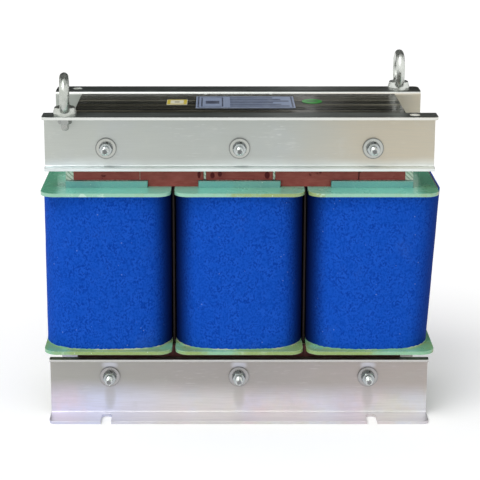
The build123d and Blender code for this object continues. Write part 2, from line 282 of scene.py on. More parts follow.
# Finishes
def zincSheet(name, look):
    material, tree = newMaterial(name, look["middle"], look["roughness"], metallic=look["metallic"])
    z = axisValue(tree, "Z")
    wander = math2(tree, "SUBTRACT", noise(tree, scale=9.0, detail=3.0), 0.5)
    sideways = scaled(tree, wander, factor=0.12, offset=axisValue(tree, "X"))
    upwards = scaled(tree, wander, factor=0.012, offset=z)
    color = mixColor(tree, rangeMask(tree, sideways, low=-0.16, high=-0.02), look["left"], look["middle"])
    # The warm tone towards the right end is a painted reflection
    color = mixColor(tree, rangeMask(tree, sideways, low=0.02, high=0.15), color, look["right"])
    # Painted highlight: a brighter band at the foot of each clamp, bluer towards the left, with coloured sheens
    # in it
    fromLeft = rangeMask(tree, sideways, low=-0.15, high=-0.06)
    lowHighlightTone = mixColor(tree, fromLeft, look["lowLeftHighlight"], look["lowBandHighlight"])
    for scale, share, tone in look["sheens"]:
        lowHighlightTone = stain(tree, lowHighlightTone, tone, share, scale, start=0.46, end=0.66)
    color = mixColor(tree, rangeMask(tree, upwards, *look["bandHeights"]), lowHighlightTone, color)
    color = stain(tree, color, look["tinge"], share=0.35, scale=14.0, start=0.50, end=0.75)
    scuffs = stains(tree, scale=45.0, start=0.56, end=0.68)
    color = tint(tree, color, look["scuff"], scuffs, share=0.18)
    grain = streaks(tree, fine=1500.0, length=0.03)
    color = tint(tree, color, look["grain"], rangeMask(tree, grain, low=0.35, high=0.70), share=0.16)
    # Painted light at each stud on the lower clamps: a pale painted reflection above it and a darker painted
    # shade streak below it
    for x in phases.values():
        for tone, share, height, halfWidth, halfHeight in look["studReflectionAndShade"]:
            spot = useEffect(tree, "softSpot", x, height, halfWidth, halfHeight)
            color = tint(tree, color, tone, spot, share)
    # A painted highlight along the bend just below the clamp's top edge
    rim = within(tree, z, look["rimHeight"], look["rimHalf"])
    color = tint(tree, color, look["edge"], rim, share=0.7)
    color = tint(tree, color, look["edge"], useEffect(tree, "scratches"), share=0.22)

    # Upward faces take painted tones: a dark painted reflection with rolling streaks on the upper clamps' top
    # flanges, more painted shade on the rear one, painted shade on the top of the lower clamps' upper lip, and
    # pale painted light on the lower clamps' feet
    longStreaks = rangeMask(tree, streaks(tree, fine=420.0, length=0.05), low=0.46, high=0.68)
    topPaintedTone = mixColor(tree, longStreaks, look["topPaintedDark"], look["topPaintedPale"])
    behind = math2(tree, "GREATER_THAN", axisValue(tree, "Y"), 0.0)
    topPaintedTone = tint(tree, topPaintedTone, look["lipTopShade"], behind, look["rearShade"])
    topPaintedTone = mixColor(tree, math2(tree, "GREATER_THAN", z, look["lipAbove"]), topPaintedTone, look["lipTopShade"])
    top = math2(tree, "MULTIPLY", rangeMask(tree, facing(tree, "Z"), low=0.5, high=0.9),
                math2(tree, "GREATER_THAN", z, look["topAbove"]))
    color = tint(tree, color, topPaintedTone, top, look["topPaintedShare"])
    color = wearEdges(tree, color, look["edge"], width=0.0007, amount=0.55)

    rough = scaled(tree, grain, factor=0.16, offset=look["roughness"] - 0.08)
    rough = scaled(tree, scuffs, factor=0.10, offset=rough)
    first = bump(tree, grain, strength=0.10, distance=0.00006, normal=roundedNormal(tree, radius=0.0005))
    normal = bump(tree, noise(tree, scale=60.0), strength=0.10, distance=0.0005, normal=first)
    return finished(material, color, normal, rough)


def studDistance(tree, upper):
    x, z = axisValue(tree, "X"), axisValue(tree, "Z")
    pitch = phases["right"]
    nearest = math2(tree, "SNAP", math2(tree, "ADD", x, pitch / 2), pitch)
    level = scaled(tree, upper, studLevels[1] - studLevels[0], studLevels[0])
    place = {"X": math2(tree, "SUBTRACT", x, nearest), "Z": math2(tree, "SUBTRACT", z, level)}
    away = addNode(tree, "CombineXYZ", place).outputs["Vector"]
    return addNode(tree, "VectorMath", {0: away}, operation="LENGTH").outputs["Value"]


def zincFasteners(name, look):
    material, tree = newMaterial(name, look["color"], roughness=0.24, metallic=1.0)
    color = stain(tree, look["color"], look["warm"], share=0.40, scale=160.0, start=0.45, end=0.70)
    color = stain(tree, color, look["shade"], share=0.35, scale=500.0, start=0.50, end=0.75)
    upper = math2(tree, "GREATER_THAN", axisValue(tree, "Z"), middleLevel)
    # Faces turned to the front or back take painted tones: painted light on nuts and washers, painted shade on
    # the stud ends, with other tones on the lower clamps
    ahead = rangeMask(tree, math2(tree, "ABSOLUTE", facing(tree, "Y")), low=0.93, high=0.985)
    aheadTone = mixColor(tree, upper, look["lowAhead"], look["ahead"])
    color = tint(tree, color, aheadTone, ahead, look["aheadShare"])
    # Painted shadow: a dark ring round the washers at each stud, stronger on the upper clamps
    if "rim" in look:
        share = scaled(tree, upper, look["upperRim"] - look["lowerRim"], look["lowerRim"])
        outline = rangeMask(tree, studDistance(tree, upper), *look["rim"])
        color = tint(tree, color, look["shade"], outline, share)
    color = wearEdges(tree, color, look["edge"], width=0.0004, amount=0.6)
    rough = scaled(tree, noise(tree, scale=350.0), factor=0.2, offset=0.12)
    rounded = roundedNormal(tree, radius=0.0003)
    turned = bump(tree, noise(tree, scale=900.0), strength=0.15, distance=0.0001, normal=rounded)
    return finished(material, color, turned, rough)


def galvanisedForging():
    look = {"color": (0.52, 0.55, 0.50), "dark": (0.22, 0.24, 0.22), "pale": (0.70, 0.72, 0.68),
            "below": (0.38, 0.39, 0.37), "rear": (0.84, 0.86, 0.82), "sheetUnderside": clampTop - 0.003}
    material, tree = newMaterial("galvanised forging", look["color"], roughness=0.36, metallic=0.9)
    spangle = addNode(tree, "TexVoronoi", {"Vector": objectPlace(tree), "Scale": 420.0}).outputs["Color"]
    flake = addNode(tree, "SeparateColor", {"Color": spangle}).outputs["Red"]
    color = tint(tree, look["color"], look["pale"], flake, share=0.5)
    color = stain(tree, color, look["dark"], share=0.6, scale=120.0, start=0.50, end=0.72)
    # Painted light and shade: the rear eye bolt lighter, and the parts below the clamp sheet darker in painted
    # shade
    behind = math2(tree, "GREATER_THAN", axisValue(tree, "Y"), 0.0)
    color = tint(tree, color, look["rear"], behind, share=0.5)
    below = math2(tree, "LESS_THAN", axisValue(tree, "Z"), look["sheetUnderside"])
    color = tint(tree, color, look["below"], below, share=0.8)
    lumps = noise(tree, scale=260.0, detail=5.0)
    rough = rangeMask(tree, lumps, low=0.2, high=1.3, smooth=False)
    first = bump(tree, lumps, strength=0.35, distance=0.0004)
    pits = noise(tree, scale=1100.0, detail=3.0)
    return finished(material, color, bump(tree, pits, strength=0.25, distance=0.00012, normal=first), rough)


def varnishedLaminations():
    look = {"dark": (0.004, 0.004, 0.003), "brown": (0.034, 0.031, 0.018), "line": (0.003, 0.003, 0.002),
            "ridge": (0.40, 0.38, 0.29), "speck": (0.45, 0.44, 0.38), "sheetPitch": 0.0005,
            "jointShare": 0.25, "alongSheets": 0.002}
    material, tree = newMaterial("varnished laminations", look["dark"], roughness=0.30, coat=0.5,
                                 coatRoughness=0.09, specular=0.12)
    y = axisValue(tree, "Y")
    slow = {axis: math2(tree, "MULTIPLY", axisValue(tree, axis), look["alongSheets"]) for axis in "XZ"}
    across = addNode(tree, "CombineXYZ", {"Y": y, **slow}).outputs["Vector"]
    packets = rangeMask(tree, noise(tree, scale=95.0, detail=2.0, vector=across), low=0.42, high=0.62)
    color = mixColor(tree, packets, look["dark"], look["brown"])
    sheets = math2(tree, "FRACT", math2(tree, "MULTIPLY", y, 1 / look["sheetPitch"]))
    joint = math2(tree, "LESS_THAN", sheets, look["jointShare"])
    edges = noise(tree, scale=1400.0, detail=2.0, vector=across)
    lines = math2(tree, "MULTIPLY", joint, rangeMask(tree, edges, low=0.35, high=0.60))
    color = tint(tree, color, look["line"], lines, share=0.7)
    ridges = noise(tree, scale=330.0, detail=2.0, roughness=0.6, vector=across)
    breaks = noise(tree, scale=16.0, vector=objectPlace(tree, scale=(1, 8, 1)))
    broken = math2(tree, "MULTIPLY", rangeMask(tree, ridges, low=0.57, high=0.62),
                   rangeMask(tree, breaks, low=0.30, high=0.62))
    color = tint(tree, color, look["ridge"], broken, share=0.6)
    color = stain(tree, color, look["brown"], share=0.35, scale=35.0, start=0.50, end=0.75)
    color = speckle(tree, color, look["speck"], share=0.6, scale=300.0, size=0.13)
    coat = rangeMask(tree, noise(tree, scale=26.0, detail=5.0), low=0.38, high=0.95, smooth=False)
    rough = scaled(tree, edges, factor=0.25, offset=0.14)
    first = bump(tree, edges, strength=0.35, distance=0.0003)
    drops = noise(tree, scale=130.0, vector=objectPlace(tree, scale=(1, 0.4, 1)))
    normal = bump(tree, drops, strength=0.12, distance=0.0006, normal=first)
    return finished(material, color, normal, rough, coat)


def paleInsulation(name, look):
    material, tree = newMaterial(name, look["color"], roughness=0.55)
    layers = noise(tree, scale=260.0, vector=objectPlace(tree, scale=(1, 1, 6), turn=(0, 0.6, 0)))
    color = mixColor(tree, rangeMask(tree, layers, low=0.40, high=0.62), look["color"], look["shade"])
    color = stain(tree, color, look["resin"], share=0.45, scale=110.0, start=0.50, end=0.72)
    saw = {"Vector": objectPlace(tree, turn=(0, 0.8, 0)), "Scale": 110.0, "Distortion": 3.0}
    sawn = addNode(tree, "TexWave", saw, wave_type="BANDS", bands_direction="X").outputs["Fac"]
    color = tint(tree, color, look["mark"], rangeMask(tree, sawn, low=0.55, high=0.90), look["sawn"])
    rough = rangeMask(tree, layers, low=0.0, high=1.6, smooth=False)
    return finished(material, color, bump(tree, layers, strength=0.5, distance=0.0003), rough)


def redBrownBoard(name, look):
    material, tree = newMaterial(name, look["color"], roughness=0.55, specular=0.25)
    fibres = noise(tree, scale=420.0, vector=objectPlace(tree, scale=(0.25, 1, 1)))
    color = mixColor(tree, rangeMask(tree, fibres, low=0.35, high=0.70), look["color"], look["worn"])
    color = stain(tree, color, look["dark"], share=0.5, scale=55.0, start=0.50, end=0.72)
    color = stain(tree, color, look["blot"], share=0.8, scale=80.0, start=0.61, end=0.64)
    for spot in look["drips"]:
        drip = rangeMask(tree, useEffect(tree, "softSpot", *spot), low=0.15, high=0.50)
        color = mixColor(tree, drip, color, look["blot"])
    color = wearEdges(tree, color, look["edge"], width=0.0005, amount=0.25)
    # Upward faces darker
    upwardDark = rangeMask(tree, facing(tree, "Z"), low=0.5, high=0.8)
    color = mixColor(tree, upwardDark, color, look["upwardDark"])
    rough = rangeMask(tree, fibres, low=-0.6, high=1.4, smooth=False)
    return finished(material, color, bump(tree, fibres, strength=0.25, distance=0.0002), rough)


def greenLaminate(name, look):
    material, tree = newMaterial(name, look["color"], roughness=0.26, coat=look["gloss"], coatRoughness=0.08)
    cloud = noise(tree, scale=22.0, detail=5.0)
    color = mixColor(tree, rangeMask(tree, cloud, low=0.38, high=0.64), look["color"], look["deep"])
    # Painted shade: the outer ends of the formers and flanges, past the outer coils, darker green
    outer = rangeMask(tree, math2(tree, "ABSOLUTE", axisValue(tree, "X")), low=0.148, high=0.160)
    color = tint(tree, color, look["outer"], outer, look["outerShadeShare"])
    yellow = stains(tree, scale=16.0, start=look["yellowStart"], end=look["yellowStart"] + 0.12)
    rim = mixColor(tree, yellow, look["rimPale"], look["rimYellow"])
    rim = stain(tree, rim, look["fibre"], share=0.8, scale=42.0, start=0.60, end=0.64)
    edge = rangeMask(tree, math2(tree, "ABSOLUTE", facing(tree, "Z")), low=0.6, high=0.2)
    color = tint(tree, color, rim, edge, look["rimShare"])
    color = tint(tree, color, look["rimYellow"], yellow, look["yellowShare"])
    cells = {"Vector": objectPlace(tree, turn=(0, 0, 0.78)), "Scale": 900.0}
    weave = addNode(tree, "TexVoronoi", cells).outputs["Distance"]
    color = tint(tree, color, look["fibre"], rangeMask(tree, weave, low=0.6, high=0.1), share=0.10)
    color = speckle(tree, color, look["fibre"], share=0.7, scale=190.0, size=0.10)
    color = wearEdges(tree, color, look["fibre"], width=0.0006, amount=look["wear"])
    rough = rangeMask(tree, cloud, low=-0.3, high=2.6, smooth=False)
    waves = bump(tree, noise(tree, scale=70.0), strength=0.06, distance=0.0006)
    return finished(material, color, waves, rough)


def windingFoil():
    look = {"color": (0.62, 0.63, 0.63), "gap": (0.10, 0.09, 0.07), "turnPitch": 0.0016, "filmShare": 0.35}
    material, tree = newMaterial("winding foil", look["color"], roughness=0.4, metallic=0.9)
    turns = math2(tree, "FRACT", math2(tree, "MULTIPLY", axisValue(tree, "Y"), 1 / look["turnPitch"]))
    film = math2(tree, "LESS_THAN", turns, look["filmShare"])
    wander = rangeMask(tree, noise(tree, scale=300.0), low=0.3, high=0.5)
    color = tint(tree, look["color"], look["gap"], film, wander)
    return finished(material, color, bump(tree, film, strength=0.3, distance=0.0002))


def blueWrap():
    look = {"color": (0.003, 0.066, 0.435), "pale": (0.008, 0.082, 0.495), "dark": (0.001, 0.040, 0.315),
            "dust": (0.05, 0.13, 0.42), "speck": (0.16, 0.26, 0.56), "gap": (0.001, 0.010, 0.080),
            "farSideShade": (0.001, 0.024, 0.190), "farFrom": 0.12}
    material, tree = newMaterial("blue wrap", look["color"], roughness=0.85, specular=0.06)
    upright = objectPlace(tree, scale=(1, 1, 0.85))
    flecks = noise(tree, scale=600.0, detail=3.0, roughness=0.6, vector=upright)
    color = mixColor(tree, rangeMask(tree, flecks, low=0.44, high=0.60), look["pale"], look["dark"])
    mottle = noise(tree, scale=110.0, detail=5.0, roughness=0.6)
    color = tint(tree, color, look["color"], rangeMask(tree, mottle, low=0.36, high=0.62), share=0.6)
    color = stain(tree, color, look["dust"], share=0.16, scale=24.0, start=0.56, end=0.74)
    color = speckle(tree, color, look["speck"], share=0.5, scale=150.0, size=0.09)
    # Painted shade: the coil sides that face the gaps between the coils dark blue, and the right-hand side of
    # the right coil darker
    x = axisValue(tree, "X")
    sideways = rangeMask(tree, math2(tree, "ABSOLUTE", facing(tree, "X")), low=0.42, high=0.98)
    between = rangeMask(tree, math2(tree, "ABSOLUTE", x), low=0.118, high=0.110)
    color = tint(tree, color, look["gap"], sideways, between)
    farSideShade = math2(tree, "MULTIPLY", rangeMask(tree, facing(tree, "X"), low=0.35, high=0.95),
                    math2(tree, "GREATER_THAN", x, look["farFrom"]))
    color = tint(tree, color, look["farSideShade"], farSideShade, share=0.85)
    rough = rangeMask(tree, flecks, low=-1.8, high=1.2, smooth=False)
    first = bump(tree, flecks, strength=0.35, distance=0.0005)
    return finished(material, color, bump(tree, mottle, strength=0.25, distance=0.0012, normal=first), rough)


def terminalAluminium():
    look = {"color": (0.64, 0.65, 0.64), "dull": (0.48, 0.49, 0.48), "edge": (0.8, 0.8, 0.8)}
    material, tree = newMaterial("terminal aluminium", look["color"], roughness=0.34, metallic=1.0)
    brushed = noise(tree, scale=2600.0, detail=3.0, vector=objectPlace(tree, scale=(1, 0.02, 0.02)))
    color = mixColor(tree, rangeMask(tree, brushed, low=0.30, high=0.75), look["color"], look["dull"])
    color = stain(tree, color, look["dull"], share=0.3, scale=60.0, start=0.52, end=0.70)
    color = wearEdges(tree, color, look["edge"], width=0.0005, amount=0.5)
    rough = scaled(tree, brushed, factor=0.2, offset=0.2)
    return finished(material, color, bump(tree, brushed, strength=0.2, distance=0.00006), rough)


def fringeFinish():
    look = {"pale": (0.50, 0.60, 0.44), "amber": (0.36, 0.34, 0.13), "green": (0.20, 0.42, 0.26)}
    material, tree = newMaterial("frayed edge", look["pale"], roughness=0.6)
    color = stain(tree, look["pale"], look["amber"], share=0.6, scale=30.0, start=0.46, end=0.62)
    color = mixColor(tree, stains(tree, scale=38.0, start=0.42, end=0.52), color, look["green"])
    return finished(material, color, bump(tree, noise(tree, scale=900.0), strength=0.4, distance=0.0002))


# Plain fields of colour on a label, measured from its left front corner
def frameMarks(left, right, front, rear, width):
    return [(left, right, front, front + width), (left, right, rear - width, rear),
            (left, left + width, front, rear), (right - width, right, front, rear)]


def rowMarks(count, left, right, front, pitch, height, step):
    return [(left, right - step * (row % 3), front + pitch * row, front + height + pitch * row)
            for row in range(count)]


def plainPrint(name, label, look):
    material, tree = newMaterial(name, look["color"], look["roughness"], coat=0.25)
    corner = (labels[label]["x"][0], labels[label]["y"][0])
    x, y = (math2(tree, "SUBTRACT", axisValue(tree, axis), start) for axis, start in zip("XY", corner))
    color = look["color"]
    for ink, share, marks in look["print"]:
        covered = None
        for left, right, front, rear in marks:
            inX = within(tree, x, (left + right) / 2, (right - left) / 2)
            inY = within(tree, y, (front + rear) / 2, (rear - front) / 2)
            inside = math2(tree, "MULTIPLY", inX, inY)
            covered = inside if covered is None else math2(tree, "MAXIMUM", covered, inside)
        color = tint(tree, color, ink, covered, share)
    color = stain(tree, color, look["dust"], share=0.3, scale=130.0, start=0.45, end=0.70)
    return finished(material, color, bump(tree, noise(tree, scale=300.0), strength=0.08, distance=0.0002))


# The tones of each finish. Heights are in metres from the floor.
upperSheet = {
    "left": (0.53, 0.56, 0.52), "middle": (0.49, 0.52, 0.49), "right": (0.58, 0.53, 0.42),
    "lowBandHighlight": (0.92, 0.99, 0.98), "lowLeftHighlight": (0.90, 0.98, 1.00), "tinge": (0.50, 0.54, 0.58),
    "bandHeights": (lipFoot - 0.003, lipFoot + 0.012), "rimHeight": clampTop - 0.0012, "rimHalf": 0.0010,
    "lipAbove": 1.0, "lipTopShade": (0.05, 0.06, 0.06), "rearShade": 0.72, "studReflectionAndShade": [], "sheens": [],
    "scuff": (0.66, 0.67, 0.64), "grain": (0.43, 0.45, 0.43), "edge": (0.90, 0.92, 0.88),
    "topPaintedDark": (0.14, 0.16, 0.155), "topPaintedPale": (0.42, 0.45, 0.44), "topPaintedShare": 0.85,
    "topAbove": clampTop - 0.0135, "roughness": 0.34, "metallic": 0.85,
}
lowerSheet = {
    "left": (0.42, 0.41, 0.38), "middle": (0.42, 0.39, 0.37), "right": (0.47, 0.42, 0.39),
    "lowBandHighlight": (0.72, 0.69, 0.70), "lowLeftHighlight": (0.68, 0.70, 0.88), "bandHeights": (0.012, 0.034),
    "tinge": (0.50, 0.44, 0.45), "rimHeight": lowerClampTop - 0.0009, "rimHalf": 0.0008,
    "lipAbove": lowerClampTop - 0.0095, "lipTopShade": (0.10, 0.10, 0.10), "rearShade": 0.0,
    "studReflectionAndShade": [((0.78, 0.80, 0.90), 0.6, 0.0465, 0.0085, 0.0060),
              ((0.44, 0.42, 0.40), 0.5, 0.0180, 0.0062, 0.0150)],
    "sheens": [(9.0, 0.6, (0.76, 0.75, 0.62)), (13.0, 0.6, (0.82, 0.66, 0.74)),
               (17.0, 0.5, (0.70, 0.74, 0.92))],
    "scuff": (0.55, 0.55, 0.52), "grain": (0.36, 0.35, 0.33), "edge": (0.78, 0.78, 0.76),
    "topPaintedDark": (0.86, 0.84, 0.87), "topPaintedPale": (0.93, 0.91, 0.92), "topPaintedShare": 0.8, "topAbove": -1.0,
    "roughness": 0.38, "metallic": 0.85,
}
boardDrips = [
    (-0.0347, 0.2190, 0.0018, 0.0045), (-0.0232, 0.2180, 0.0024, 0.0034), (-0.0168, 0.2192, 0.0022, 0.0030),
    (0.0238, 0.2182, 0.0028, 0.0040), (0.1026, 0.2140, 0.0008, 0.0300),
]
plateInk = (0.030, 0.036, 0.070)
fastenerKeys = ("color", "shade", "warm", "edge", "ahead", "lowAhead", "aheadShare")
# Lit and shaded copies of one zinc: the nuts under the eye bolts and the spring washers are darker copies in
# painted shade, and the washers' dark base is painted shade round their lighter front faces
fastenerLooks = {
    "fasteners": ("bright zinc, studs", (0.80, 0.84, 0.84), (0.45, 0.48, 0.48), (0.70, 0.69, 0.60),
                  (0.90, 0.92, 0.92), (0.12, 0.13, 0.13), (0.20, 0.20, 0.20), 0.9),
    "nuts": ("zinc, nuts", (0.44, 0.48, 0.48), (0.20, 0.22, 0.22), (0.42, 0.42, 0.37),
             (0.80, 0.83, 0.82), (0.58, 0.62, 0.62), (0.50, 0.53, 0.53), 0.8),
    "shadedUnderNuts": ("zinc, nuts under the eye bolts in painted shade", (0.32, 0.34, 0.33), (0.14, 0.15, 0.15), (0.32, 0.31, 0.27),
                  (0.66, 0.68, 0.65), (0.41, 0.43, 0.41), (0.41, 0.43, 0.41), 0.7),
    "washers": ("zinc, washers with painted shade", (0.14, 0.15, 0.15), (0.08, 0.09, 0.09), (0.14, 0.13, 0.11),
                (0.34, 0.35, 0.33), (0.58, 0.60, 0.56), (0.48, 0.46, 0.45), 0.9),
    "shadedSprings": ("zinc, spring washers in painted shade", (0.16, 0.17, 0.17), (0.08, 0.09, 0.09), (0.16, 0.15, 0.13),
                (0.40, 0.42, 0.42), (0.26, 0.28, 0.28), (0.26, 0.28, 0.28), 0.6),
}
rimShadowLooks = {"washers": {"rim": (0.0078, 0.0090), "upperRim": 0.8, "lowerRim": 0.3}}
finishes = {
    "upperSheet": zincSheet("zinc sheet, upper clamps", upperSheet),
    "lowerSheet": zincSheet("zinc sheet, lower clamps", lowerSheet),
    "forging": galvanisedForging(),
    "laminations": varnishedLaminations(),
    "insulation": paleInsulation("pale insulation", {
        "color": (0.50, 0.60, 0.48), "shade": (0.34, 0.46, 0.36), "resin": (0.42, 0.45, 0.30), "sawn": 0.2,
        "mark": (0.60, 0.66, 0.52)}),
    "packing": paleInsulation("whitish packing", {
        "color": (0.84, 0.90, 0.80), "shade": (0.55, 0.68, 0.55), "resin": (0.66, 0.70, 0.50), "sawn": 0.85,
        "mark": (0.30, 0.42, 0.30)}),
    "board": redBrownBoard("red-brown board", {
        "color": (0.300, 0.062, 0.050), "worn": (0.360, 0.092, 0.074), "dark": (0.150, 0.026, 0.021),
        "blot": (0.100, 0.003, 0.005), "edge": (0.36, 0.19, 0.15), "upwardDark": (0.025, 0.012, 0.010),
        "drips": boardDrips}),
    # Darker copies of the board in painted shade: the lower boards, and the near-black phase barriers in the
    # gaps between the coils
    "shadedLowBoard": redBrownBoard("red-brown board in painted shade, lower", {
        "color": (0.090, 0.024, 0.024), "worn": (0.120, 0.036, 0.034), "dark": (0.045, 0.012, 0.012),
        "blot": (0.040, 0.002, 0.004), "edge": (0.16, 0.09, 0.08), "upwardDark": (0.025, 0.012, 0.010),
        "drips": []}),
    "barrier": redBrownBoard("red-brown board in painted shade, barriers", {
        "color": (0.010, 0.004, 0.003), "worn": (0.014, 0.006, 0.005), "dark": (0.005, 0.002, 0.002),
        "blot": (0.008, 0.001, 0.001), "edge": (0.014, 0.007, 0.006), "upwardDark": (0.025, 0.012, 0.010),
        "drips": []}),
    "former": greenLaminate("green laminate, formers", {
        "gloss": 0.4, "color": (0.135, 0.400, 0.365), "deep": (0.110, 0.330, 0.320),
        "outer": (0.060, 0.230, 0.130), "outerShadeShare": 0.6, "rimPale": (0.120, 0.330, 0.300),
        "rimYellow": (0.24, 0.40, 0.24), "rimShare": 0.0, "yellowShare": 0.15, "yellowStart": 0.5,
        "fibre": (0.50, 0.68, 0.58), "wear": 0.8}),
    "flange": greenLaminate("green laminate, upper flanges", {
        "gloss": 0.4, "color": (0.210, 0.630, 0.490), "deep": (0.175, 0.550, 0.430),
        "outer": (0.080, 0.340, 0.185), "outerShadeShare": 0.75, "rimPale": (0.27, 0.52, 0.38),
        "rimYellow": (0.28, 0.35, 0.10), "rimShare": 0.9, "yellowShare": 0.20, "yellowStart": 0.5,
        "fibre": (0.55, 0.75, 0.62), "wear": 0.5}),
    "lowFlange": greenLaminate("green laminate, lower flanges", {
        "gloss": 0.1, "color": (0.260, 0.560, 0.330), "deep": (0.200, 0.480, 0.300),
        "outer": (0.130, 0.380, 0.170), "outerShadeShare": 0.6, "rimPale": (0.23, 0.46, 0.29),
        "rimYellow": (0.25, 0.36, 0.10), "rimShare": 0.8, "yellowShare": 0.80, "yellowStart": 0.42,
        "fibre": (0.60, 0.78, 0.64), "wear": 0.6}),
    "foil": windingFoil(),
    "wrap": blueWrap(),
    "aluminium": terminalAluminium(),
    "fringe": fringeFinish(),
    "pale_sticker": plainPrint("pale sticker", "pale_sticker", {
        "color": (0.78, 0.77, 0.62), "dust": (0.60, 0.56, 0.34), "roughness": 0.4,
        "print": [((0.64, 0.50, 0.03), 1.0, frameMarks(0.0004, 0.0177, 0.0004, 0.0226, 0.0028)),
                  ((0.26, 0.20, 0.05), 0.9, [(0.0070, 0.0112, 0.0090, 0.0135)])]}),
    "grey_plate": plainPrint("grey plate", "grey_plate", {
        "color": (0.270, 0.330, 0.470), "dust": (0.34, 0.39, 0.50), "roughness": 0.35,
        "print": [(plateInk, 0.9, frameMarks(0.0014, 0.0855, 0.0010, 0.0540, 0.0014)),
                  (plateInk, 0.9, frameMarks(0.0045, 0.0240, 0.0060, 0.0490, 0.0013)),
                  ((0.025, 0.030, 0.065), 0.9, [(0.0085, 0.0205, 0.0190, 0.0330)]),
                  ((0.030, 0.038, 0.075), 0.95, rowMarks(6, 0.030, 0.082, 0.006, 0.0078, 0.0044, 0.007))]}),
    "green_oval": plainPrint("green oval", "green_oval", {
        "color": (0.020, 0.270, 0.030), "dust": (0.04, 0.18, 0.04), "roughness": 0.5,
        "print": [((0.020, 0.090, 0.022), 0.8, [(0.0045, 0.0138, 0.0070, 0.0140)])]}),
}
for finish, (title, *tones) in fastenerLooks.items():
    look = dict(zip(fastenerKeys, tones), **rimShadowLooks.get(finish, {}))
    finishes[finish] = zincFasteners(title, look)
print("finishes ready:", len(finishes))


def finishOf(node):
    if node.endswith("_clamp"):
        return "upperSheet" if node.startswith("upper") else "lowerSheet"
    if node.endswith("_lower_flange"):
        return "lowFlange"
    if node.startswith("lower_") and node.endswith("_boards"):
        return "shadedLowBoard"
    single = {"gap_boards": "insulation", "stud_sleeves": "insulation", "end_strips": "packing",
              "limb_packing": "packing", "phase_barriers": "barrier", "clamp_nuts": "nuts",
              "eye_bolt_nuts": "shadedUnderNuts", "spring_washers": "shadedSprings", "flat_washers": "washers",
              "clamp_studs": "washers"}
    if node in single:
        return single[node]
    endings = {"_eye_bolt": "forging", "_yoke": "laminations", "_limb": "laminations", "_boards": "board",
               "_former": "former", "_flange": "flange", "_winding": "foil", "_wrap": "wrap",
               "_bar": "aluminium"}
    return next(finish for ending, finish in endings.items() if node.endswith(ending))


for node, piece in nodes.items():
    piece.data.materials.clear()
    piece.data.materials.append(finishes[finishOf(node)])

# Modelling helpers, each leaving one active object at the origin
meshValues = {"copyMerge": 0.000005, "merge": 0.000002, "quadAngle": 60, "smoothAngle": 35}


def startMesh(name, points, edges, faces=()):
    bpy.ops.object.select_all(action="DESELECT")
    mesh = bpy.data.meshes.new(name)
    mesh.from_pydata(points, edges, faces)
    piece = bpy.data.objects.new(name, mesh)
    bpy.context.collection.objects.link(piece)
    bpy.context.view_layer.objects.active = piece
    piece.select_set(True)
    return piece


def copyNode(name, node):
    bpy.ops.object.select_all(action="DESELECT")
    piece = bpy.data.objects.new(name, nodes[node].data.copy())
    bpy.context.collection.objects.link(piece)
    bpy.context.view_layer.objects.active = piece
    piece.select_set(True)
    angle = math.radians(meshValues["quadAngle"])
    bpy.ops.object.mode_set(mode="EDIT")
    bpy.ops.mesh.select_all(action="SELECT")
    bpy.ops.mesh.remove_doubles(threshold=meshValues["copyMerge"])
    bpy.ops.mesh.tris_convert_to_quads(face_threshold=angle, shape_threshold=angle)
    bpy.ops.object.mode_set(mode="OBJECT")
    return piece


def useModifier(piece, kind, **settings):
    modifier = piece.modifiers.new(kind.lower(), kind)
    for name, value in settings.items():
        setattr(modifier, name, value)
    bpy.context.view_layer.objects.active = piece
    bpy.ops.object.modifier_apply(modifier=modifier.name)


def cleanMesh(piece, smoothAngle=meshValues["smoothAngle"]):
    bpy.context.view_layer.objects.active = piece
    bpy.ops.object.mode_set(mode="EDIT")
    bpy.ops.mesh.select_all(action="SELECT")
    bpy.ops.mesh.remove_doubles(threshold=meshValues["merge"])
    bpy.ops.mesh.normals_make_consistent(inside=False)
    bpy.ops.object.mode_set(mode="OBJECT")
    bpy.ops.object.shade_smooth_by_angle(angle=math.radians(smoothAngle))


def joinAll(parts):
    bpy.ops.object.select_all(action="DESELECT")
    for part in parts:
        part.select_set(True)
    bpy.context.view_layer.objects.active = parts[0]
    bpy.ops.object.join()
    return bpy.context.object


def shiftMesh(piece, offset):
    for vertex in piece.data.vertices:
        vertex.co += Vector(offset)


def dress(piece, finish, replaced=()):
    piece.data.materials.clear()
    piece.data.materials.append(finishes[finish])
    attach(piece, "root")
    if replaced:
        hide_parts(*replaced)


# Clamp studs with real threads at both ends
studValues = {
    "pitch": 0.001, "flankShare": 0.47, "rootRadius": 0.00242, "rootSink": 0.0002, "crest": 0.00006,
    "turns": 14, "turnSteps": 20, "tipClearance": 0.0006, "coreSteps": 32, "dish": 0.00025, "rim": 0.00018,
    "sideMargin": 0.00001, "endMargin": 0.00002, "smoothAngle": 28, "merge": 0.000001,
}


def threadRibbon(values, radius, start, direction):
    half = values["pitch"] * values["flankShare"]
    root, sunk = values["rootRadius"], values["rootRadius"] - values["rootSink"]
    profile = [(sunk, -half), (root, -half), (radius, -values["crest"]), (radius, values["crest"]),
               (root, half), (sunk, half)]
    points = [(x, start + y, 0) for x, y in profile]
    ring = [(i, (i + 1) % len(points)) for i in range(len(points))]
    ribbon = startMesh("thread", points, ring)
    useModifier(ribbon, "SCREW", axis="Y", screw_offset=direction * values["pitch"], angle=2 * math.pi,
                iterations=values["turns"], steps=values["turnSteps"], render_steps=values["turnSteps"])
    bpy.ops.object.mode_set(mode="EDIT")
    bpy.ops.mesh.select_all(action="DESELECT")
    bpy.ops.mesh.select_non_manifold()
    bpy.ops.mesh.fill_holes(sides=0)
    bpy.ops.object.mode_set(mode="OBJECT")
    return ribbon


